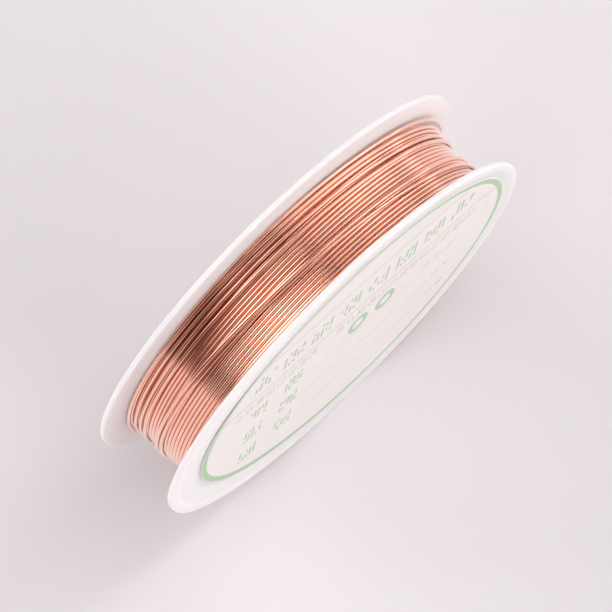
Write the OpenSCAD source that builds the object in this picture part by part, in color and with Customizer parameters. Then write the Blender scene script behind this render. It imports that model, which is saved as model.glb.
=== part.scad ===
// Coil of beading wire: a full spool of craft wire, standing on the rims of its flanges.
// One white moulding (two flanges, a hollow drum and a hub tube joined by ribs) carries the
// close-wound wire, and a round paper label is stuck on the front flange.
// Millimetres. The spool's axis is along Y, the label faces -Y and +Z is up.
// The origin is on the floor, under the middle of the spool.

/* [Flanges] */
// Diameter of the two flanges
flange_d = 68; // [62:1:100]
// Width of the spool over both rims
spool_w = 14.4; // [10:0.1:30]
// Thickness of a flange at its rim
rim_t = 0.85; // [0.8:0.05:2]
// Thickness of a flange at the drum: its inner face is a shallow cone
root_t = 1.6; // [0.9:0.05:3]
// Rounding of the rim's two edges
rim_r = 0.22; // [0.1:0.02:0.38]
// Width of the flat on top of the rim's bead, with its rounding
bead_w = 1.1; // [0.8:0.1:1.5]
// Width of the slope from the bead down to the border
slope_w = 0.8; // [0.5:0.1:1]
// Height of the bead above the border
bead_h = 0.2; // [0.1:0.05:0.3]
// Diameter of the shallow recess inside the border
recess_d = 58; // [40:0.5:58]
// Depth of the recess below the border
recess_h = 0.15; // [0.05:0.05:0.3]

/* [Drum and hub] */
// Diameter of the drum that the wire is wound on
drum_d = 56; // [36:1:57]
// Wall of the drum
drum_wall = 1.5; // [1:0.1:3]
// Thickness of the web that closes the drum at the front
web_t = 1.2; // [1:0.1:2.5]
// Diameter of the spindle hole
bore_d = 8; // [6:0.5:14]
// Wall of the hub tube round the spindle hole
hub_wall = 1.6; // [1:0.1:3]
// How far the hub tube's open end lies below the rim
hub_short = 0.7; // [0.5:0.1:3]
// Fillet at the foot of the drum and of the hub tube, inside the drum
foot_r = 0.8; // [0.2:0.1:1.5]
// Number of ribs between the hub tube and the drum
ribs = 4; // [3:1:8]
// Thickness of a rib
rib_t = 1.2; // [0.8:0.1:2]
// How far the ribs' edges lie below the rim
rib_short = 3; // [1:0.5:6]

/* [Wire] */
// Diameter of the wire
wire_d = 0.6; // [0.4:0.1:1]
// Full layers wound on the drum
layers = 3; // [1:1:5]
// Turns of the unfinished layer on top, wound on beside the back flange
last_turns = 4; // [1:1:6]
// Room between the coil and the drum and flanges
coil_gap = 0.02; // [0.02:0.01:0.1]
// Least room between neighbouring turns
turn_gap = 0.002; // [0.002:0.001:0.05]

/* [Label] */
// Diameter of the label
label_d = 59.6; // [40:0.2:60]
// Thickness of the label's paper
label_t = 0.12; // [0.1:0.01:0.2]
// How far off centre the label is stuck on, to the right
label_off = 1.7; // [0:0.1:1.7]
// How far off centre the label is stuck on, upwards
label_up = 0.3; // [0:0.1:0.5]

/* [Hidden] */
$fn = 96;

axis_z = flange_d / 2;                // height of the spool's axis
border_y = spool_w / 2 - bead_h;      // where a flange's border lies, from the middle
floor_y = border_y - recess_h;        // floor of the recess
inside_y = spool_w / 2 - rim_t;       // a flange's inner face at the rim
root_y = spool_w / 2 - root_t;        // a flange's inner face at the drum
// how much a flange's inner face draws in for each millimetre towards the drum
flare = (root_t - rim_t) / ((flange_d - drum_d) / 2 - rim_r);
web_y = floor_y - web_t;              // inside of the front web
// the label lies on the border where it reaches over it, and else on the recess's floor
label_reach = label_d / 2 + norm([label_off, label_up]);
label_y = label_reach > recess_d / 2 ? border_y : floor_y;
hub_d = bore_d + 2 * hub_wall;
drum_id = drum_d - 2 * drum_wall;

coil_r = drum_d / 2 + coil_gap;       // bore of the coil
// turns bed into the grooves of the layer below
layer_rise = 0.95 * wire_d * sin(60);
// the packed layers below stand a little further off the flanges than the turns on top
packed_gap = 4 * coil_gap;

// Half of the room between the flanges at radius r
function room(r) = root_y + flare * (r - drum_d / 2);
// Centre radius of the turns in layer k, counted from 0
function layer_r(k) = coil_r + wire_d / 2 + k * layer_rise;

top_r = layer_r(layers - 1);          // centre radius of the last full layer
// centre of its outermost turn, which lies against the cone of the flange
end_y = room(top_r) - (wire_d / 2 + coil_gap) * sqrt(1 + flare * flare);
turns = floor(2 * end_y / (wire_d + turn_gap)) + 1;
pitch = 2 * end_y / (turns - 1);

// Turns a section, drawn as [radius, distance to the front], about the spool's axis
module turned() {
    translate([0, 0, axis_z]) rotate([90, 0, 0]) rotate_extrude($fn = 180) children();
}

// Section of the front flange, from inside_r to the rim: rounded bead, slope, border and recess
// outside, shallow cone inside
module flange_section(inside_r) {
    r = flange_d / 2;
    top = spool_w / 2;
    difference() {
        union() {
            polygon([
                [inside_r, top], [inside_r, root_y], [drum_d / 2, root_y],
                [r - rim_r, inside_y], [r - rim_r, top]
            ]);
            translate([r - 2 * rim_r, inside_y + rim_r])
                square([2 * rim_r, rim_t - 2 * rim_r]);
            for (y = [inside_y + rim_r, top - rim_r])
                translate([r - rim_r, y]) circle(r = rim_r);
        }
        polygon([
            [inside_r - 1, top + 1], [inside_r - 1, floor_y],
            [recess_d / 2, floor_y], [recess_d / 2, border_y],
            [r - bead_w - slope_w, border_y], [r - bead_w, top],
            [r - bead_w, top + 1]
        ]);
    }
}

// Fillet section between the web and a wall at radius x; side is 1 outside the wall, -1 inside
module foot_section(x, side) {
    translate([x, web_y - foot_r]) difference() {
        translate([side > 0 ? 0 : -foot_r, 0]) square(foot_r);
        translate([side * foot_r, 0]) circle(r = foot_r);
    }
}

module ribs() {
    back = spool_w / 2 - rib_short;
    for (a = [0 : ribs - 1])
        translate([0, 0, axis_z]) rotate([0, 45 + a * 360 / ribs, 0])
            translate([hub_d / 2 - hub_wall / 2, -web_y - web_t / 2, -rib_t / 2])
                cube([(drum_id + drum_wall - hub_d + hub_wall) / 2, back + web_y + web_t / 2, rib_t]);
}

module spool() {
    color("white") {
        turned() {
            flange_section(drum_id / 2);
            mirror([0, 1]) flange_section(drum_id / 2);
            // front web
            translate([bore_d / 2, web_y]) square([drum_d / 2 - bore_d / 2, web_t]);
            // drum
            translate([drum_id / 2, -floor_y]) square([drum_wall, floor_y + web_y + web_t / 2]);
            // hub tube
            translate([bore_d / 2, -spool_w / 2 + hub_short])
                square([hub_wall, spool_w / 2 - hub_short + web_y + web_t / 2]);
            foot_section(drum_id / 2, -1);
            foot_section(hub_d / 2, 1);
        }
        ribs();
    }
}

module wire_coil() {
    packed_r = top_r + wire_d / 8;    // closes the slits between the turns on top
    inner_half = room(coil_r) - packed_gap;
    outer_half = room(packed_r) - packed_gap;
    color("peru") turned() {
        // the layers below, packed solid
        polygon([
            [coil_r, -inner_half], [packed_r, -outer_half],
            [packed_r, outer_half], [coil_r, inner_half]
        ]);
        // the turns of the last full layer
        for (i = [0 : turns - 1])
            translate([top_r, i * pitch - end_y]) circle(d = wire_d, $fn = 48);
        // the turns of the unfinished layer, bedded between them beside the back flange
        for (i = [0 : last_turns - 1])
            translate([layer_r(layers), (i + 0.5) * pitch - end_y])
                circle(d = wire_d, $fn = 48);
    }
}

module label() {
    color("ivory") translate([label_off, -label_y, axis_z + label_up])
        rotate([90, 0, 0]) cylinder(d = label_d, h = label_t);
}

spool();
wire_coil();
label();
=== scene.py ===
"""A coil of copper beading wire on its white spool: the finish of the moulding, the wire as it
is really wound, the printed label, and a studio table to see them on.

Metres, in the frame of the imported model: the spool's axis is along Y, the label faces -Y and
+Z is up."""

import math

import bmesh
import bpy
import numpy as np
from mathutils import Euler, Matrix, Vector


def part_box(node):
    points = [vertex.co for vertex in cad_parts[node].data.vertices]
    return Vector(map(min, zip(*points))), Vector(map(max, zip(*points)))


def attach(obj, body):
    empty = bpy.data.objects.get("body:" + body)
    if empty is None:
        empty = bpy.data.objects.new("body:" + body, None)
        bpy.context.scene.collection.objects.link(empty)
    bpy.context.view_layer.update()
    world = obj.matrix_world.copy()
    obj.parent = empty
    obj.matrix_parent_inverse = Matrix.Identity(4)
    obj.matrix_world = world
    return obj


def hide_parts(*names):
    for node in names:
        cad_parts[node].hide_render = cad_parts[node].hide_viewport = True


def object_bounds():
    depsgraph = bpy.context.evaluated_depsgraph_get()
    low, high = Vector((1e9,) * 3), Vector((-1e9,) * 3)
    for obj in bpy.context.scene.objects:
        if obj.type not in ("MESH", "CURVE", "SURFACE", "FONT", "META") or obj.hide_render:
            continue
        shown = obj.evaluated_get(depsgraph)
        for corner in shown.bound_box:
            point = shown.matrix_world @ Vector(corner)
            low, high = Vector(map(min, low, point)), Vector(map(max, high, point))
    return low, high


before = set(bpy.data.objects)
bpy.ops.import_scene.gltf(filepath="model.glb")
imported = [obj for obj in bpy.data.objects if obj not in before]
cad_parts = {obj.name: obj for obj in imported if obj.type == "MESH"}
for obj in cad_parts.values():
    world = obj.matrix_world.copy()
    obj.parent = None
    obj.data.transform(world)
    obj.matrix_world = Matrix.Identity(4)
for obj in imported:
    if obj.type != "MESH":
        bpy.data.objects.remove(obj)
CAD_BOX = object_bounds()

bl_info = {
    "name": "Coil of beading wire",
    "version": (1, 0, 0),
    "blender": (4, 5, 0),
    "location": "View3D > Sidebar > Coil",
    "description": "Winds the wire, sticks the label on and finishes the spool",
    "category": "Object",
}

MM = 0.001
DEGREE = math.pi / 180

SPOOL_LOW, SPOOL_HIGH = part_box("spool")
LABEL_LOW, LABEL_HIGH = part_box("label")
AXIS = Vector((0, 0, (SPOOL_LOW.z + SPOOL_HIGH.z) / 2))
FRONT_Y = SPOOL_LOW.y                       # the front flange's rim
LABEL_DISC_RADIUS = 29.8 * MM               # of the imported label
LABEL_CENTRE = Vector(
    (LABEL_HIGH.x - LABEL_DISC_RADIUS, LABEL_LOW.y, (LABEL_LOW.z + LABEL_HIGH.z) / 2)
)


# ---------------------------------------------------------------------------------------------
# Settings
# ---------------------------------------------------------------------------------------------


def length(name, description, default):
    return bpy.props.FloatProperty(
        name=name, description=description, default=default, unit="LENGTH", subtype="DISTANCE"
    )


def angle(name, description, degrees):
    return bpy.props.FloatProperty(
        name=name,
        description=description,
        default=degrees * DEGREE,
        unit="ROTATION",
        subtype="ANGLE",
    )


def colour(name, description, default):
    return bpy.props.FloatVectorProperty(
        name=name, description=description, default=default, size=3, subtype="COLOR", min=0, max=1
    )


def factor(name, description, default):
    return bpy.props.FloatProperty(
        name=name, description=description, default=default, min=0, max=1, subtype="FACTOR"
    )


class SpoolSettings(bpy.types.PropertyGroup):
    drum_radius: length("Drum radius", "Radius of the drum under the wire", 28 * MM)
    root_thickness: length("Root thickness", "Thickness of a flange at the drum", 1.6 * MM)
    rim_thickness: length("Rim thickness", "Thickness of a flange at its rim", 0.85 * MM)
    plastic: colour("Plastic", "Colour of the moulding", (0.87, 0.84, 0.85))
    gloss_roughness: factor("Roughness", "Roughness of the moulding's skin", 0.45)


class WireSettings(bpy.types.PropertyGroup):
    diameter: length("Diameter", "Diameter of the wire", 0.59 * MM)
    pitch: length("Pitch", "From one turn to the next where they lie side by side", 0.592 * MM)
    under_radius: length("Under layer", "Radius of the turns under the last full layer", 28.64 * MM)
    slack: length(
        "Slack", "How far the turns stand off on the +X side, where they are loose", 0.26 * MM
    )
    end_slack: length(
        "Slack at the end", "How much farther the last turns stand off there", 1.3 * MM
    )
    copper: colour("Copper", "Colour of the bare metal", (0.945, 0.54, 0.415))
    roughness: factor("Roughness", "Roughness of the drawn wire", 0.13)


class LabelSettings(bpy.types.PropertyGroup):
    radius: length("Radius", "Radius of the paper", 29.75 * MM)
    thickness: length("Thickness", "Thickness of the paper", 0.1 * MM)
    recess_radius: length(
        "Recess radius", "Radius of the recess that the paper sags into", 29.0 * MM
    )
    sag: length("Sag", "How deep the paper lies in the recess", 0.15 * MM)
    tilt: angle("Tilt", "How far the print is turned from level", -8.6)
    paper: colour("Paper", "Colour of the bare paper", (0.88, 0.84, 0.82))
    green: colour("Green", "Colour of the ring and the large marks", (0.41, 0.60, 0.37))
    mauve: colour("Mauve", "Colour of the rules and the small marks", (0.62, 0.53, 0.50))
    roughness: factor("Roughness", "Roughness of the paper's coating", 0.43)


class StageSettings(bpy.types.PropertyGroup):
    table: colour("Table", "Colour of the table", (0.77, 0.74, 0.765))
    backdrop: colour("Backdrop", "Colour of the paper behind the table", (0.80, 0.76, 0.78))
    edge: length("Edge", "From the spool to the table's edge, on the +X side", 270 * MM)
    lamp_level: bpy.props.FloatProperty(
        name="Lamp level", description="Strength of all the lamps", default=1.0, min=0
    )


# ---------------------------------------------------------------------------------------------
# Node helpers
# ---------------------------------------------------------------------------------------------


def add_node(tree, kind, settings=None, **inputs):
    """Adds a node; inputs are values, or sockets to link from, by the input's name or i0, i1…"""
    node = tree.nodes.new(kind)
    for key, value in (settings or {}).items():
        setattr(node, key, value)
    for key, value in inputs.items():
        socket = node.inputs[int(key[1:])] if key[0] == "i" and key[1:].isdigit() else None
        socket = socket or node.inputs[key.replace("_", " ")]
        if isinstance(value, bpy.types.NodeSocket):
            tree.links.new(value, socket)
        else:
            socket.default_value = value
    return node


def math_node(tree, operation, a, b=0.0, c=0.0):
    return add_node(tree, "ShaderNodeMath", {"operation": operation}, i0=a, i1=b, i2=c).outputs[0]


def ease_between(tree, value, low, high):
    """0 at low, 1 at high and a gentle change between them."""
    return add_node(
        tree,
        "ShaderNodeMapRange",
        {"interpolation_type": "SMOOTHSTEP"},
        Value=value,
        From_Min=low,
        From_Max=high,
    ).outputs[0]


def mix_colour(tree, amount, a, b, blend="MIX"):
    node = add_node(tree, "ShaderNodeMix", {"data_type": "RGBA", "blend_type": blend})
    for name, value in (("Factor_Float", amount), ("A_Color", a), ("B_Color", b)):
        socket = next(s for s in node.inputs if s.identifier == name)
        if isinstance(value, bpy.types.NodeSocket):
            tree.links.new(value, socket)
        else:
            socket.default_value = value
    return next(s for s in node.outputs if s.identifier == "Result_Color")


def rgba(colour_value, shade=1.0):
    return (*[c * shade for c in colour_value], 1.0)


def new_group(name, inputs, outputs):
    """A shader node group; inputs are (name, type, default), outputs (name, type)."""
    group = bpy.data.node_groups.new(name, "ShaderNodeTree")
    for label, kind, default in inputs:
        socket = group.interface.new_socket(label, in_out="INPUT", socket_type=kind)
        if default is not None:
            socket.default_value = default
    for label, kind in outputs:
        group.interface.new_socket(label, in_out="OUTPUT", socket_type=kind)
    return group, group.nodes.new("NodeGroupInput"), group.nodes.new("NodeGroupOutput")


def place_group(tree, group, **inputs):
    return add_node(tree, "ShaderNodeGroup", {"node_tree": group}, **inputs)


def new_material(name):
    """A material with only a shader and an output: the material, its node tree and the shader."""
    material = bpy.data.materials.new(name)
    material.use_nodes = True
    material.node_tree.nodes.clear()
    tree = material.node_tree
    shader = tree.nodes.new("ShaderNodeBsdfPrincipled")
    output = tree.nodes.new("ShaderNodeOutputMaterial")
    tree.links.new(shader.outputs["BSDF"], output.inputs["Surface"])
    return material, tree, shader


def add_bump(tree, shader, height, distance, strength):
    bump = add_node(tree, "ShaderNodeBump", Height=height, Distance=distance, Strength=strength)
    tree.links.new(bump.outputs["Normal"], shader.inputs["Normal"])


def vary_roughness(tree, shader, noise, roughness, swing):
    """Lets the roughness swing about its value with a noise whose middle is a half."""
    rough = math_node(tree, "MULTIPLY_ADD", noise, swing, roughness - swing / 2)
    tree.links.new(rough, shader.inputs["Roughness"])


def keep_between_ends(tree, ink, across, ends):
    """Ink only from the input Start to the input End."""
    for end, operation in (("Start", "GREATER_THAN"), ("End", "LESS_THAN")):
        limit = math_node(tree, operation, across, ends[end])
        ink = math_node(tree, "MULTIPLY", ink, limit)
    return ink


# ---------------------------------------------------------------------------------------------
# Shared effects
# ---------------------------------------------------------------------------------------------


def mottling_group():
    """Faint cloudy changes of shade, and the height of a fine unevenness of the surface."""
    name = "Surface mottling"
    if name in bpy.data.node_groups:
        return bpy.data.node_groups[name]
    group, inside, out = new_group(
        name,
        [
            ("Vector", "NodeSocketVector", None),
            ("Cloud Scale", "NodeSocketFloat", 60.0),
            ("Cloud Amount", "NodeSocketFloat", 0.05),
            ("Grain Scale", "NodeSocketFloat", 900.0),
        ],
        [("Shade", "NodeSocketFloat"), ("Height", "NodeSocketFloat")],
    )
    clouds = add_node(
        group,
        "ShaderNodeTexNoise",
        Vector=inside.outputs["Vector"],
        Scale=inside.outputs["Cloud Scale"],
        Detail=3.0,
        Roughness=0.55,
    )
    grain = add_node(
        group,
        "ShaderNodeTexNoise",
        Vector=inside.outputs["Vector"],
        Scale=inside.outputs["Grain Scale"],
        Detail=2.0,
        Roughness=0.5,
    )
    centred = math_node(group, "SUBTRACT", clouds.outputs["Fac"], 0.5)
    shade = math_node(group, "MULTIPLY_ADD", centred, inside.outputs["Cloud Amount"], 1.0)
    group.links.new(shade, out.inputs["Shade"])
    group.links.new(grain.outputs["Fac"], out.inputs["Height"])
    return group


def mottled(tree, place, base, **sizes):
    """A colour with faint clouds in it, and the height of the fine unevenness."""
    mottling = place_group(tree, mottling_group(), Vector=place, **sizes)
    shaded = mix_colour(tree, 1.0, base, mottling.outputs["Shade"], "MULTIPLY")
    return shaded, mottling.outputs["Height"]


STROKES_IN_MARK = 5.0
BROKEN_SHARE = 0.38             # of the strokes' pieces, the share left out
OVAL_REACH = 0.17               # square of an oval's half width, in widths of its mark
SEED_PER_MM = 3.7               # keeps one row's chances from the next row's


def mark_row_group():
    """A level row of printed marks; 1 is ink.

    The vector is in millimetres on the paper. The row runs from Start to End and its marks
    stand Pitch apart. A mark is five upright strokes, broken at chance places, or an open oval
    where Round is 1."""
    name = "Row of printed marks"
    if name in bpy.data.node_groups:
        return bpy.data.node_groups[name]
    inputs = [("Vector", "NodeSocketVector", None)] + [
        (label, "NodeSocketFloat", default)
        for label, default in (
            ("Start", -10.0),
            ("End", 10.0),
            ("Pitch", 5.5),
            ("Width", 4.0),
            ("Middle", 0.0),
            ("Height", 5.0),
            ("Stroke", 0.35),
            ("Round", 0.0),
        )
    ]
    group, inside, out = new_group(name, inputs, [("Ink", "NodeSocketFloat")])
    get = inside.outputs
    place = add_node(group, "ShaderNodeSeparateXYZ", Vector=get["Vector"])
    from_start = math_node(group, "SUBTRACT", place.outputs["X"], get["Start"])
    marks = math_node(group, "DIVIDE", from_start, get["Pitch"])
    in_mark = math_node(group, "SUBTRACT", math_node(group, "FRACT", marks), 0.5)
    from_middle = math_node(group, "MULTIPLY", in_mark, get["Pitch"])
    above = math_node(group, "SUBTRACT", place.outputs["Y"], get["Middle"])
    # places in the mark, from -0.5 to 0.5 across and up it
    across = math_node(group, "DIVIDE", from_middle, get["Width"])
    up = math_node(group, "DIVIDE", above, get["Height"])
    columns = math_node(group, "MULTIPLY_ADD", across, STROKES_IN_MARK, STROKES_IN_MARK / 2)
    lines = math_node(group, "MULTIPLY_ADD", up, STROKES_IN_MARK, STROKES_IN_MARK / 2)
    row = math_node(group, "ADD", get["Middle"], get["Start"])
    mark_number = math_node(group, "FLOOR", marks)
    key = add_node(
        group,
        "ShaderNodeCombineXYZ",
        X=math_node(group, "FLOOR", columns),
        Y=math_node(group, "FLOOR", lines),
        Z=math_node(group, "MULTIPLY_ADD", row, SEED_PER_MM, mark_number),
    ).outputs["Vector"]
    chance = add_node(
        group, "ShaderNodeTexWhiteNoise", {"noise_dimensions": "3D"}, Vector=key
    ).outputs["Value"]
    in_column = math_node(group, "SUBTRACT", math_node(group, "FRACT", columns), 0.5)
    off_stroke = math_node(group, "ABSOLUTE", in_column)
    half_strokes = math_node(group, "MULTIPLY", get["Stroke"], STROKES_IN_MARK / 2)
    half_stroke = math_node(group, "DIVIDE", half_strokes, get["Width"])
    strokes = math_node(group, "LESS_THAN", off_stroke, half_stroke)
    unbroken = math_node(group, "GREATER_THAN", chance, BROKEN_SHARE)
    strokes = math_node(group, "MULTIPLY", strokes, unbroken)
    for off in (across, up):
        inside_mark = math_node(group, "LESS_THAN", math_node(group, "ABSOLUTE", off), 0.5)
        strokes = math_node(group, "MULTIPLY", strokes, inside_mark)
    up_squared = math_node(group, "MULTIPLY", up, up)
    reach = math_node(group, "MULTIPLY_ADD", across, across, up_squared)
    off_oval = math_node(group, "ABSOLUTE", math_node(group, "SUBTRACT", reach, OVAL_REACH))
    oval = math_node(group, "LESS_THAN", off_oval, half_stroke)
    mark = add_node(group, "ShaderNodeMix", Factor=get["Round"], A=strokes, B=oval).outputs[0]
    ink = keep_between_ends(group, mark, place.outputs["X"], get)
    group.links.new(ink, out.inputs["Ink"])
    return group


def rule_group():
    """A printed straight rule; 1 is ink. Middle and Width are its height and thickness."""
    name = "Printed rule"
    if name in bpy.data.node_groups:
        return bpy.data.node_groups[name]
    inputs = [("Vector", "NodeSocketVector", None)] + [
        (label, "NodeSocketFloat", default)
        for label, default in (("Start", -10.0), ("End", 10.0), ("Middle", 0.0), ("Width", 0.3))
    ]
    group, inside, out = new_group(name, inputs, [("Ink", "NodeSocketFloat")])
    get = inside.outputs
    place = add_node(group, "ShaderNodeSeparateXYZ", Vector=get["Vector"])
    above = math_node(group, "SUBTRACT", place.outputs["Y"], get["Middle"])
    off_rule = math_node(group, "ABSOLUTE", above)
    half_width = math_node(group, "DIVIDE", get["Width"], 2.0)
    rule = math_node(group, "LESS_THAN", off_rule, half_width)
    ink = keep_between_ends(group, rule, place.outputs["X"], get)
    group.links.new(ink, out.inputs["Ink"])
    return group


# ---------------------------------------------------------------------------------------------
# The print: places in millimetres from the label's middle
# ---------------------------------------------------------------------------------------------

RING_RADIUS = 29.05
RING_WIDTH = 0.95
MAUVE_STRENGTH = 0.8            # 1 would cover the paper

ROW_INPUTS = ("Start", "End", "Pitch", "Width", "Middle", "Height", "Stroke", "Round")
GREEN_ROWS = (
    (-21.9, 22.2, 5.51, 4.2, 14.5, 5.0, 0.45, 0.0),
    (-22.3, -8.3, 7.0, 3.6, 1.0, 4.4, 0.40, 0.0),
    (-22.3, -8.3, 7.0, 3.6, -7.0, 4.4, 0.40, 0.0),
    (-22.3, -8.3, 7.0, 3.6, -15.5, 4.4, 0.40, 0.0),
    (-1.9, 8.9, 5.4, 3.8, 1.5, 5.2, 0.14, 1.0),
)
MAUVE_ROWS = (
    (-24.5, -7.5, 2.1, 1.7, 6.6, 2.6, 0.22, 0.0),
    (-4.5, 24.0, 2.1, 1.7, 6.6, 2.6, 0.22, 0.0),
    (13.5, 20.5, 2.4, 1.8, -0.2, 1.6, 0.20, 0.0),
    (17.0, 21.0, 2.0, 1.6, -8.2, 1.6, 0.20, 0.0),
    (17.0, 21.0, 2.0, 1.6, -15.5, 1.6, 0.20, 0.0),
)

RULE_INPUTS = ("Start", "End", "Middle", "Width")
MAUVE_RULES = (
    (-20.0, 19.5, 20.3, 0.40),
    (-27.2, 27.2, 9.4, 0.42),
    (-9.0, 12.0, -2.2, 0.22),
    (-9.0, 19.0, -10.2, 0.22),
    (-9.0, 19.0, -18.4, 0.22),
)


# ---------------------------------------------------------------------------------------------
# Materials
# ---------------------------------------------------------------------------------------------


def plastic_material(settings):
    """White injection-moulded polystyrene: a soft gloss with faint flow marks."""
    material, tree, shader = new_material("White moulding")
    place = tree.nodes.new("ShaderNodeTexCoord").outputs["Object"]
    shaded, grain = mottled(
        tree,
        place,
        rgba(settings.plastic),
        Cloud_Scale=45.0,
        Cloud_Amount=0.04,
        Grain_Scale=150.0,
    )
    tree.links.new(shaded, shader.inputs["Base Color"])
    vary_roughness(tree, shader, grain, settings.gloss_roughness, swing=0.12)
    add_bump(tree, shader, grain, distance=6e-6, strength=0.5)
    shader.inputs["IOR"].default_value = 1.55
    shader.inputs["Subsurface Weight"].default_value = 0.7
    shader.inputs["Subsurface Radius"].default_value = (1.0, 0.8, 0.75)
    shader.inputs["Subsurface Scale"].default_value = 2.5 * MM
    return material


def copper_material(settings):
    """Bright copper drawn through a die: fine marks run along the wire, its shade drifts."""
    material, tree, shader = new_material("Drawn copper")
    coordinates = tree.nodes.new("ShaderNodeTexCoord").outputs
    shaded, _ = mottled(
        tree,
        coordinates["Object"],
        rgba(settings.copper),
        Cloud_Scale=180.0,
        Cloud_Amount=0.12,
        Grain_Scale=2500.0,
    )
    tree.links.new(shaded, shader.inputs["Base Color"])
    along = add_node(
        tree, "ShaderNodeMapping", Vector=coordinates["UV"], Scale=(200.0, 40.0, 1.0)
    ).outputs["Vector"]
    marks = add_node(tree, "ShaderNodeTexNoise", Vector=along, Scale=1.0, Detail=2.0)
    vary_roughness(tree, shader, marks.outputs["Fac"], settings.roughness, swing=0.12)
    add_bump(tree, shader, marks.outputs["Fac"], distance=2e-6, strength=0.4)
    shader.inputs["Metallic"].default_value = 1.0
    # a thin clear lacquer
    shader.inputs["Coat Weight"].default_value = 0.6
    shader.inputs["Coat Roughness"].default_value = 0.12
    shader.inputs["Coat IOR"].default_value = 1.5
    return material


def add_prints(tree, group, ink, level, names, prints):
    """Adds prints of one group to an ink; names are the inputs that each print gives."""
    for values in prints:
        one = place_group(tree, group, Vector=level, **dict(zip(names, values)))
        ink = math_node(tree, "MAXIMUM", ink, one.outputs["Ink"])
    return ink


def label_material(settings, printed):
    """Coated paper, and on its face a green ring, rules and rows of plain marks."""
    material, tree, shader = new_material("Printed paper" if printed else "Bare paper")
    place = tree.nodes.new("ShaderNodeTexCoord").outputs["Object"]
    paper, grain = mottled(
        tree,
        place,
        rgba(settings.paper),
        Cloud_Scale=80.0,
        Cloud_Amount=0.04,
        Grain_Scale=2200.0,
    )
    tree.links.new(paper, shader.inputs["Base Color"])
    vary_roughness(tree, shader, grain, settings.roughness, swing=0.1)
    add_bump(tree, shader, grain, distance=3e-6, strength=0.5)
    if not printed:
        return material

    on_paper = add_node(
        tree,
        "ShaderNodeMapping",
        {"vector_type": "TEXTURE"},
        Vector=place,
        Location=LABEL_CENTRE,
        Rotation=Euler((math.pi / 2, -settings.tilt, 0)),
        Scale=(MM, MM, MM),
    ).outputs["Vector"]
    level = add_node(
        tree, "ShaderNodeMapping", Vector=on_paper, Scale=(1.0, 1.0, 0.0)
    ).outputs["Vector"]
    from_centre = add_node(
        tree, "ShaderNodeVectorMath", {"operation": "LENGTH"}, i0=level
    ).outputs["Value"]
    off_ring = math_node(tree, "ABSOLUTE", math_node(tree, "SUBTRACT", from_centre, RING_RADIUS))
    ring = math_node(tree, "LESS_THAN", off_ring, RING_WIDTH / 2)
    green = add_prints(tree, mark_row_group(), ring, level, ROW_INPUTS, GREEN_ROWS)
    mauve = add_prints(tree, rule_group(), 0.0, level, RULE_INPUTS, MAUVE_RULES)
    mauve = add_prints(tree, mark_row_group(), mauve, level, ROW_INPUTS, MAUVE_ROWS)
    mauve = math_node(tree, "MULTIPLY", mauve, MAUVE_STRENGTH)

    with_mauve = mix_colour(tree, mauve, paper, rgba(settings.mauve))
    with_green = mix_colour(tree, green, with_mauve, rgba(settings.green))
    tree.links.new(with_green, shader.inputs["Base Color"])
    return material


# ---------------------------------------------------------------------------------------------
# The winding
# ---------------------------------------------------------------------------------------------

STEPS = 216                     # points in one turn
UNDER_SIDES, TOP_SIDES = 12, 16
UNDER_SEED, TOP_SEED = 4, 11

# How the last full layer comes back from the back flange: turns wound, millimetres from the
# front rim. Its turns lie side by side.
FULL_LAYER = ((-0.5, 12.68), (0, 12.6), (18, 1.753))
# How the strand then strays back over that layer: degrees from the top, towards -X, counted
# on from the layer's end, and millimetres from the front rim.
STRAYING = (
    (100, 1.80),
    (290, 4.10),
    (314, 4.40),
    (406, 6.39),
    (439, 6.80),
    (560, 6.20),
    (678, 5.50),
    (725, 5.80),
    (770, 7.06),
    (799, 7.42),
    (1036, 9.20),
    (1085, 9.65),
    (1128, 10.00),
    (1260, 9.90),
    (1396, 10.08),
    (1445, 10.68),
    (1488, 10.90),
    (1640, 10.95),
    (1756, 11.12),
    (1805, 11.55),
    (1848, 11.85),
    (1980, 11.75),
    (2116, 11.62),
    (2160, 12.05),
    (2208, 12.70),
    (2350, 12.60),
    (2476, 12.40),
    (2530, 12.80),
    (2740, 12.90),
)
# Degrees from the top where the full layer's turns are counted from
LAYER_START = -19.3

NEAR_FLANGE = 40                # degrees before the layer's end that lie against the front flange
TOUCHING = 0.98                 # diameters between the middles of strands that rest on each other
CLEARANCE = 0.503               # diameters from a strand's middle to a flange
BRIDGE_POINTS = 24              # how far along itself the stiff wire bridges a hollow
BRIDGE_DROP = 0.0045 * MM       # how far it comes down in a degree
LOOSE_FROM = 11.3 * MM          # from the front rim, where turns begin to hang loose
LOOSE_RISE = 1.6 * MM           # and over how much more they come to do so wholly
LOOSE_AFTER = 1000              # degrees after the full layer's end


def smoothed(values, reach):
    """A bell-weighted running mean over reach points each way."""
    weights = np.hanning(2 * reach + 3)[1:-1]
    padded = np.concatenate([np.full(reach, values[0]), values, np.full(reach, values[-1])])
    return np.convolve(padded, weights / weights.sum(), "valid")


def wobble(count, rng, size, spacing):
    """A slow, seeded unevenness of about the given size."""
    knots = rng.normal(0, size, count // spacing + 3)
    uneven = np.interp(np.arange(count) / spacing, np.arange(len(knots)), knots)
    return smoothed(uneven, spacing // 2)


def eased(share):
    """0 below 0, 1 above 1 and a gentle change between them."""
    share = np.clip(share, 0, 1)
    return share * share * (3 - 2 * share)


def half_room(radius, settings):
    """Half of the room between the flanges at a radius; their inner faces are shallow cones."""
    half_width = -FRONT_Y
    reach = (SPOOL_HIGH.z - SPOOL_LOW.z) / 2 - settings.drum_radius
    flare = (settings.root_thickness - settings.rim_thickness) / reach
    return half_width - settings.root_thickness + flare * (radius - settings.drum_radius)


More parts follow.
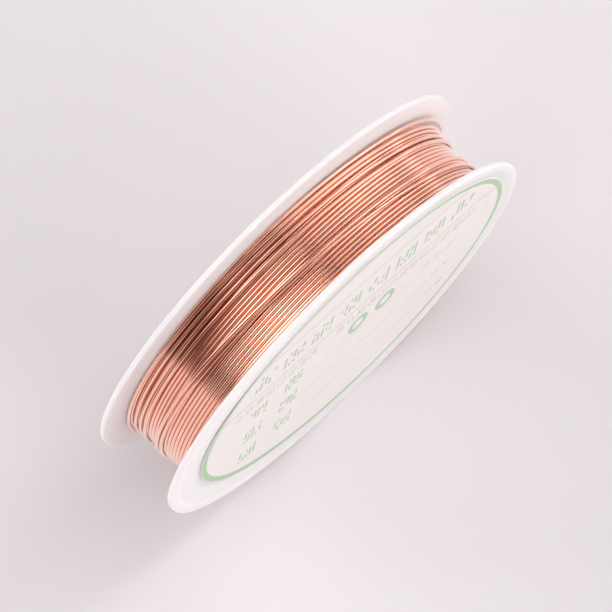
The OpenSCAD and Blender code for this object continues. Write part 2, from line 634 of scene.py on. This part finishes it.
def rest_on_turns(place, below, wire_d):
    """Radii at which each point rests on the turns below it and before it.

    place holds one value a step; below is a list of (places, radii) of one turn each, at the
    same angles, and the strand's own earlier turns are STEPS values before."""
    count = len(place)
    radius = np.zeros(count)
    touching = TOUCHING * wire_d
    for first in range(0, count, STEPS):
        last = min(first + STEPS, count)
        steps = np.arange(first, last)
        rest = np.zeros(last - first)
        others = [(p[steps % STEPS], r[steps % STEPS]) for p, r in below]
        others += [(place[steps - k], radius[steps - k]) for k in range(STEPS, first + 1, STEPS)]
        for other_place, other_radius in others:
            apart = np.abs(place[steps] - other_place)
            lift = np.sqrt(np.clip(touching**2 - apart**2, 0, None))
            rest = np.maximum(rest, np.where(apart < touching, other_radius + lift, 0))
        # the wire is stiff: it bridges hollows and comes up gently to what it crosses
        bridged = rest.copy()
        for shift in range(1, BRIDGE_POINTS):
            drop = shift * BRIDGE_DROP * 360 / STEPS
            bridged[shift:] = np.maximum(bridged[shift:], rest[:-shift] - drop)
            bridged[:-shift] = np.maximum(bridged[:-shift], rest[shift:] - drop)
        radius[first:last] = bridged
    return radius


def strand_curve(name, degrees, place, radius, wire_d, sides):
    """A round wire through the given points, made a mesh."""
    theta = np.radians(degrees)
    points = np.stack(
        [
            -radius * np.sin(theta),
            FRONT_Y + place,
            AXIS.z + radius * np.cos(theta),
            np.ones_like(theta),
        ],
        axis=1,
    )
    data = bpy.data.curves.new(name, "CURVE")
    data.dimensions = "3D"
    data.bevel_depth = wire_d / 2
    data.bevel_resolution = (sides - 4) // 2
    data.use_fill_caps = True
    spline = data.splines.new("POLY")
    spline.points.add(len(points) - 1)
    spline.points.foreach_set("co", points.ravel())
    curve = bpy.data.objects.new(name + "_curve", data)
    bpy.context.scene.collection.objects.link(curve)
    bpy.context.view_layer.update()
    depsgraph = bpy.context.evaluated_depsgraph_get()
    mesh = bpy.data.meshes.new_from_object(curve.evaluated_get(depsgraph))
    mesh.name = name
    bpy.data.objects.remove(curve)
    bpy.data.curves.remove(data)
    return new_piece(name, mesh)


def new_piece(name, mesh):
    """A smooth object at the origin, whose place is in its mesh."""
    piece = bpy.data.objects.new(name, mesh)
    bpy.context.scene.collection.objects.link(piece)
    mesh.polygons.foreach_set("use_smooth", [True] * len(mesh.polygons))
    return piece


def under_layer(spool, wire):
    """Angles, places and radii of the layer under the last full one, wound from the front."""
    radius = wire.under_radius
    room = 2 * (half_room(radius, spool) - CLEARANCE * wire.diameter)
    turns = int(room / wire.pitch)
    steps = np.arange(turns * STEPS + 1)
    place = -FRONT_Y - room / 2 + room * steps / steps[-1]
    rng = np.random.default_rng(UNDER_SEED)
    place = place + wobble(len(steps), rng, size=0.006 * MM, spacing=30)
    degrees = steps * 360 / STEPS
    return degrees, place, radius - wire.slack * np.sin(np.radians(degrees))


def top_strand(spool, wire, below):
    """The last full layer and the unfinished one that strays back over it, as one strand."""
    layer_turns, layer_places = np.array(FULL_LAYER).T
    straying, stray_places = np.array(STRAYING).T
    last_turn = layer_turns[-1] * 360
    angles = np.concatenate([layer_turns[:-1] * 360 + LAYER_START, last_turn + straying])
    places = np.concatenate([layer_places[:-1], stray_places]) * MM
    # the last turn of the full layer lies against the front flange
    angles = np.insert(angles, len(layer_turns) - 1, last_turn - NEAR_FLANGE)
    places = np.insert(places, len(layer_turns) - 1, layer_places[-1] * MM)
    offset = round(angles[0] * STEPS / 360)
    count = int((angles[-1] - angles[0]) * STEPS / 360)
    steps = np.arange(offset, offset + count)
    degrees = steps * 360 / STEPS
    place = smoothed(np.interp(degrees, angles, places), reach=9)
    rng = np.random.default_rng(TOP_SEED)
    place = place + wobble(count, rng, size=0.008 * MM, spacing=26)
    # one turn of the under layer at each of its lanes, at the same angles
    under_place, under_radius = below
    turns = (len(under_place) - 1) // STEPS
    lanes = [
        (under_place[k * STEPS : (k + 1) * STEPS], under_radius[k * STEPS : (k + 1) * STEPS])
        for k in range(turns)
    ]
    lanes = [(np.roll(p, -offset), np.roll(r, -offset)) for p, r in lanes]
    radius = rest_on_turns(place, lanes, wire.diameter)
    # the last turns, by the back flange, hang loose on the +X side
    late = degrees > last_turn + LOOSE_AFTER
    loose = smoothed(eased((place - LOOSE_FROM) / LOOSE_RISE) * late, reach=20)
    side = np.clip(-np.sin(np.radians(degrees)), 0, 1)
    radius = smoothed(radius + wire.end_slack * loose * side**2, reach=5)
    limit = half_room(radius, spool) - CLEARANCE * wire.diameter
    place = np.clip(place, -FRONT_Y - limit, -FRONT_Y + limit)
    return degrees, place, radius


# ---------------------------------------------------------------------------------------------
# Operators
# ---------------------------------------------------------------------------------------------


class SPOOL_OT_finish_moulding(bpy.types.Operator):
    """Gives the moulded spool its white plastic"""

    bl_idname = "coil.finish_moulding"
    bl_label = "Finish the spool"

    def execute(self, context):
        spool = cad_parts["spool"]
        spool.data.materials.clear()
        spool.data.materials.append(plastic_material(context.scene.spool_settings))
        return {"FINISHED"}


class SPOOL_OT_wind_wire(bpy.types.Operator):
    """Winds the wire on the drum: the turns that show, and the layer under them"""

    bl_idname = "coil.wind_wire"
    bl_label = "Wind the wire"

    def execute(self, context):
        spool, wire = context.scene.spool_settings, context.scene.wire_settings
        copper = copper_material(wire)
        degrees, place, radius = under_layer(spool, wire)
        under = strand_curve("wire_under_turns", degrees, place, radius, wire.diameter, UNDER_SIDES)
        top = strand_curve(
            "wire_top_turns",
            *top_strand(spool, wire, (place, radius)),
            wire.diameter,
            TOP_SIDES,
        )
        for piece in (under, top):
            piece.data.materials.append(copper)
            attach(piece, "root")
            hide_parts("wire_coil")
        return {"FINISHED"}


LABEL_RINGS, LABEL_STEPS = 60, 144
BEND_INSIDE = 1.5 * MM          # how far inside the recess's edge the paper begins to rise
BEND_WIDTH = 1.3 * MM           # and over what width it does, so that it clears the edge


class SPOOL_OT_stick_label(bpy.types.Operator):
    """Sticks the round paper label on the front flange, where it sags into the recess"""

    bl_idname = "coil.stick_label"
    bl_label = "Stick the label on"

    def execute(self, context):
        settings = context.scene.label_settings
        bm = bmesh.new()
        inner = bm.verts.new((0, 0, 0))
        edges = []
        for k in range(LABEL_RINGS):
            outer = bm.verts.new(((k + 1) * settings.radius / LABEL_RINGS, 0, 0))
            edges.append(bm.edges.new((inner, outer)))
            inner = outer
        bmesh.ops.spin(
            bm,
            geom=bm.verts[:] + edges,
            cent=(0, 0, 0),
            axis=(0, -1, 0),
            angle=2 * math.pi,
            steps=LABEL_STEPS,
            use_merge=True,
        )
        bmesh.ops.remove_doubles(bm, verts=bm.verts, dist=1e-6)
        bmesh.ops.translate(bm, vec=LABEL_CENTRE, verts=bm.verts)
        for vert in bm.verts:
            from_axis = math.hypot(vert.co.x - AXIS.x, vert.co.z - AXIS.z)
            into_bend = from_axis - (settings.recess_radius - BEND_INSIDE)
            vert.co.y += settings.sag * (1 - eased(into_bend / BEND_WIDTH))
        bmesh.ops.recalc_face_normals(bm, faces=bm.faces)
        if bm.faces[0].normal.y > 0:
            bmesh.ops.reverse_faces(bm, faces=bm.faces)
        bmesh.ops.solidify(bm, geom=bm.faces[:], thickness=settings.thickness)
        for face in bm.faces:
            face.material_index = 0 if face.normal.y < -0.5 else 1
        mesh = bpy.data.meshes.new("paper_label")
        bm.to_mesh(mesh)
        bm.free()
        piece = new_piece("paper_label", mesh)
        piece.data.materials.append(label_material(settings, printed=True))
        piece.data.materials.append(label_material(settings, printed=False))
        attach(piece, "root")
        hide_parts("label")
        return {"FINISHED"}


class SPOOL_OT_set_stage(bpy.types.Operator):
    """Sets the table, the lamps and the camera"""

    bl_idname = "coil.set_stage"
    bl_label = "Set the stage"

    def execute(self, context):
        settings = context.scene.stage_settings
        make_table(settings)
        make_world(context.scene, settings)
        make_lamps(context.scene, settings.lamp_level)
        make_camera(context.scene)
        return {"FINISHED"}


# ---------------------------------------------------------------------------------------------
# Stage
# ---------------------------------------------------------------------------------------------

TABLE_HALF_WIDTH = 2.0
# Painted shade: the table's colour is darker close round the spool and gets paler outwards between
# these two distances
PAINTED_SHADE_FADES_OUT = 0.07, 0.16   # metres from the spool's foot
OUTSIDE_PAINTED_SHADE = 1.15
# Where the table is seen to run into the backdrop, and where metal shows it so: in metal the table
# is the backdrop from close round the spool, a painted reflection that glows brighter than white
# and lacks the spool's shadow
SEEN_FADE = 0.10, 0.20
REFLECTED_FADE = 0.02, 0.05
METAL_BACKDROP_GLOW = 1.2            # how much stronger the backdrop is in metal
BELOW_HORIZON = -0.05, -0.15    # height of a direction
# The room lights with the first colour, but metal reflects it as the redder second one: a painted
# reflection tint
ROOM_LIGHT = 1.0, 0.78, 0.72, 1.0
ROOM_TINT_PAINTED_IN_METAL = 1.0, 0.55, 0.47, 1.0
ROOM_LEVEL = 0.15


def backdrop_rays(tree, rays, seen, reflected):
    """seen for a ray from the camera, and reflected for one that is reflected or let through."""
    bent = math_node(tree, "MAXIMUM", rays["Is Glossy Ray"], rays["Is Transmission Ray"])
    return math_node(
        tree,
        "MAXIMUM",
        math_node(tree, "MULTIPLY", rays["Is Camera Ray"], seen),
        math_node(tree, "MULTIPLY", bent, reflected),
    )


def make_table(settings):
    """A flat table under the spool, which ends on the +X side."""
    bm = bmesh.new()
    bmesh.ops.create_grid(bm, x_segments=8, y_segments=8, size=TABLE_HALF_WIDTH)
    middle = (settings.edge - TABLE_HALF_WIDTH, 0, CAD_BOX[0].z)
    bmesh.ops.translate(bm, vec=middle, verts=bm.verts)
    mesh = bpy.data.meshes.new("table")
    bm.to_mesh(mesh)
    bm.free()
    mesh.materials.append(table_material(settings))
    table = bpy.data.objects.new("table", mesh)
    bpy.context.scene.collection.objects.link(table)


def table_material(settings):
    """Matt paper with painted shade, darker close round the spool and paler outwards, which runs
    into the backdrop far from the spool; in metal it glows as the backdrop from near the spool's
    foot, a painted reflection.
    """
    material, tree, shader = new_material("Pale table")
    place = tree.nodes.new("ShaderNodeTexCoord").outputs["Object"]
    from_spool = add_node(
        tree, "ShaderNodeVectorMath", {"operation": "LENGTH"}, i0=place
    ).outputs["Value"]
    # painted shade round the spool's foot, fading out outwards
    outwards = ease_between(tree, from_spool, *PAINTED_SHADE_FADES_OUT)
    outer = rgba(settings.table, OUTSIDE_PAINTED_SHADE)
    table_with_painted_shade = mix_colour(tree, outwards, rgba(settings.table), outer)
    shaded, _ = mottled(
        tree, place, table_with_painted_shade, Cloud_Scale=12.0, Cloud_Amount=0.02, Grain_Scale=300.0
    )
    tree.links.new(shaded, shader.inputs["Base Color"])
    shader.inputs["Roughness"].default_value = 0.75
    shader.inputs["Specular IOR Level"].default_value = 0.2

    rays = tree.nodes.new("ShaderNodeLightPath").outputs
    seen = ease_between(tree, from_spool, *SEEN_FADE)
    reflected = ease_between(tree, from_spool, *REFLECTED_FADE)
    # painted reflection: in metal the table glows as the backdrop, stronger than white and without
    # the spool's shadow
    strength = math_node(tree, "MULTIPLY_ADD", rays["Is Glossy Ray"], METAL_BACKDROP_GLOW - 1, 1.0)
    backdrop = add_node(
        tree, "ShaderNodeEmission", Color=rgba(settings.backdrop), Strength=strength
    )
    mix = tree.nodes.new("ShaderNodeMixShader")
    tree.links.new(backdrop_rays(tree, rays, seen, reflected), mix.inputs[0])
    tree.links.new(shader.outputs["BSDF"], mix.inputs[1])
    tree.links.new(backdrop.outputs["Emission"], mix.inputs[2])
    surface = next(node for node in tree.nodes if node.type == "OUTPUT_MATERIAL")
    tree.links.new(mix.outputs[0], surface.inputs["Surface"])
    return material


def make_world(scene, settings):
    """Pale all round for the camera, a dimmer room for light and for reflections from above; in
    metal the room is redder than the light it gives, a painted reflection tint.
    """
    world = bpy.data.worlds.new("Room")
    world.use_nodes = True
    tree = world.node_tree
    tree.nodes.clear()
    direction = tree.nodes.new("ShaderNodeTexCoord").outputs["Generated"]
    height = add_node(tree, "ShaderNodeSeparateXYZ", Vector=direction).outputs["Z"]
    below = ease_between(tree, height, *BELOW_HORIZON)
    rays = tree.nodes.new("ShaderNodeLightPath").outputs
    backdrop = add_node(tree, "ShaderNodeBackground", Color=rgba(settings.backdrop), Strength=1.0)
    # painted reflection tint: metal sees the room redder than the light it gives
    room_with_painted_metal_tint = mix_colour(tree, rays["Is Glossy Ray"], ROOM_LIGHT, ROOM_TINT_PAINTED_IN_METAL)
    room = add_node(tree, "ShaderNodeBackground", Color=room_with_painted_metal_tint, Strength=ROOM_LEVEL)
    mix = tree.nodes.new("ShaderNodeMixShader")
    out = tree.nodes.new("ShaderNodeOutputWorld")
    tree.links.new(backdrop_rays(tree, rays, 1.0, below), mix.inputs[0])
    tree.links.new(room.outputs[0], mix.inputs[1])
    tree.links.new(backdrop.outputs[0], mix.inputs[2])
    tree.links.new(mix.outputs[0], out.inputs["Surface"])
    scene.world = world


LAMP_DISTANCE = 1.3
FILL_DISTANCE = 3.0             # of a lamp without gloss

# Where a lamp's angles start, where they turn to, and their pole
UPRIGHT = (Vector((0, 1, 0)), Vector((-1, 0, 0)), Vector((0, 0, 1)))
OVER_SPOOL = (Vector((0, 0, 1)), Vector((-1, 0, 0)), Vector((0, 1, 0)))


def add_softbox(scene, name, axes, arc, along, radiance, gloss=True, diffuse=True):
    """A rectangular soft lamp of a given radiance, facing the spool.

    A lamp without gloss isn't seen in reflections, and stands further off, so that it lights
    the table more evenly; one without diffuse is only seen in reflections.

    arc is its two edges, in degrees round the axes' pole, and along its two ends, in degrees
    towards the pole."""
    start, turn, pole = axes
    distance = LAMP_DISTANCE if gloss else FILL_DISTANCE
    lean = math.radians(sum(arc) / 2)
    tip = math.radians(sum(along) / 2)
    height = 2 * distance * math.tan(math.radians(arc[1] - arc[0]) / 2) * math.cos(tip)
    width = 2 * distance * math.tan(math.radians(along[1] - along[0]) / 2)
    outwards = start * math.cos(lean) + turn * math.sin(lean)
    out = outwards * math.cos(tip) + pole * math.sin(tip)
    across = turn * math.cos(lean) - start * math.sin(lean)
    data = bpy.data.lights.new(name, "AREA")
    data.shape = "RECTANGLE"
    data.size, data.size_y = height, width
    data.energy = radiance * math.pi * height * width
    lamp = bpy.data.objects.new(name, data)
    lamp.location = AXIS + out * distance
    lamp.rotation_mode = "QUATERNION"
    lamp.rotation_quaternion = Matrix((across, out.cross(across), out)).transposed().to_quaternion()
    lamp.visible_glossy = gloss
    lamp.visible_diffuse = diffuse
    scene.collection.objects.link(lamp)
    return lamp


def make_lamps(scene, level):
    add_softbox(scene, "Back softbox", UPRIGHT, (-1, 58), (2, 66), 2.8 * level, diffuse=False)
    add_softbox(scene, "Back fill", UPRIGHT, (0, 46), (2, 44), 3.1 * level, gloss=False)
    add_softbox(scene, "Front softbox", UPRIGHT, (175, 268), (-12, 58), 0.9 * level)
    add_softbox(scene, "Front fill", OVER_SPOOL, (-25, 25), (-85, -30), 1.5 * level, gloss=False)
    add_softbox(scene, "Side strip", OVER_SPOOL, (-102, -4), (-12, 0), 2.5 * level)
    add_softbox(scene, "Ceiling", OVER_SPOOL, (-80, -14), (-45, 30), 0.28 * level)
    add_softbox(scene, "Overhead fill", OVER_SPOOL, (-30, 40), (-30, 30), 0.58 * level, gloss=False)
    add_softbox(scene, "Low fill", OVER_SPOOL, (50, 85), (-25, 25), 1.6 * level, gloss=False)


CAMERA_AZIMUTH = -44.314 * DEGREE
CAMERA_ELEVATION = 74.891 * DEGREE
CAMERA_DISTANCE = 916.0 * MM
CAMERA_LEFT, CAMERA_DOWN = 0.452 * MM, 0.144 * MM


def make_camera(scene):
    """A long lens, high over the front quarter on the -X side."""
    data = bpy.data.cameras.new("Camera")
    data.sensor_width = 36
    data.lens = 382.35
    data.clip_start, data.clip_end = 0.01, 20
    camera = bpy.data.objects.new("Camera", data)
    back = Vector(
        (
            math.sin(CAMERA_AZIMUTH) * math.cos(CAMERA_ELEVATION),
            -math.cos(CAMERA_AZIMUTH) * math.cos(CAMERA_ELEVATION),
            math.sin(CAMERA_ELEVATION),
        )
    )
    right = Vector((math.cos(CAMERA_AZIMUTH), math.sin(CAMERA_AZIMUTH), 0))
    up = back.cross(right)
    camera.location = AXIS + CAMERA_DISTANCE * back - CAMERA_LEFT * right - CAMERA_DOWN * up
    camera.rotation_mode = "QUATERNION"
    camera.rotation_quaternion = Matrix((right, up, back)).transposed().to_quaternion()
    scene.collection.objects.link(camera)
    scene.camera = camera
    scene.view_settings.view_transform = "Standard"


# ---------------------------------------------------------------------------------------------
# Panel and registration
# ---------------------------------------------------------------------------------------------


class SPOOL_PT_coil(bpy.types.Panel):
    """Lists the steps that make the coil"""

    bl_label = "Coil of wire"
    bl_idname = "SPOOL_PT_coil"
    bl_space_type = "VIEW_3D"
    bl_region_type = "UI"
    bl_category = "Coil"

    def draw(self, context):
        for operator in OPERATORS:
            self.layout.operator(operator.bl_idname)


SETTINGS = {
    "spool_settings": SpoolSettings,
    "wire_settings": WireSettings,
    "label_settings": LabelSettings,
    "stage_settings": StageSettings,
}
OPERATORS = (
    SPOOL_OT_finish_moulding,
    SPOOL_OT_wind_wire,
    SPOOL_OT_stick_label,
    SPOOL_OT_set_stage,
)
CLASSES = (*SETTINGS.values(), *OPERATORS, SPOOL_PT_coil)


def register():
    for cls in CLASSES:
        bpy.utils.register_class(cls)
    for name, cls in SETTINGS.items():
        setattr(bpy.types.Scene, name, bpy.props.PointerProperty(type=cls))


def unregister():
    for name in SETTINGS:
        delattr(bpy.types.Scene, name)
    for cls in reversed(CLASSES):
        bpy.utils.unregister_class(cls)


def main():
    register()
    bpy.ops.coil.finish_moulding()
    bpy.ops.coil.wind_wire()
    bpy.ops.coil.stick_label()
    bpy.ops.coil.set_stage()


if __name__ == "__main__":
    main()
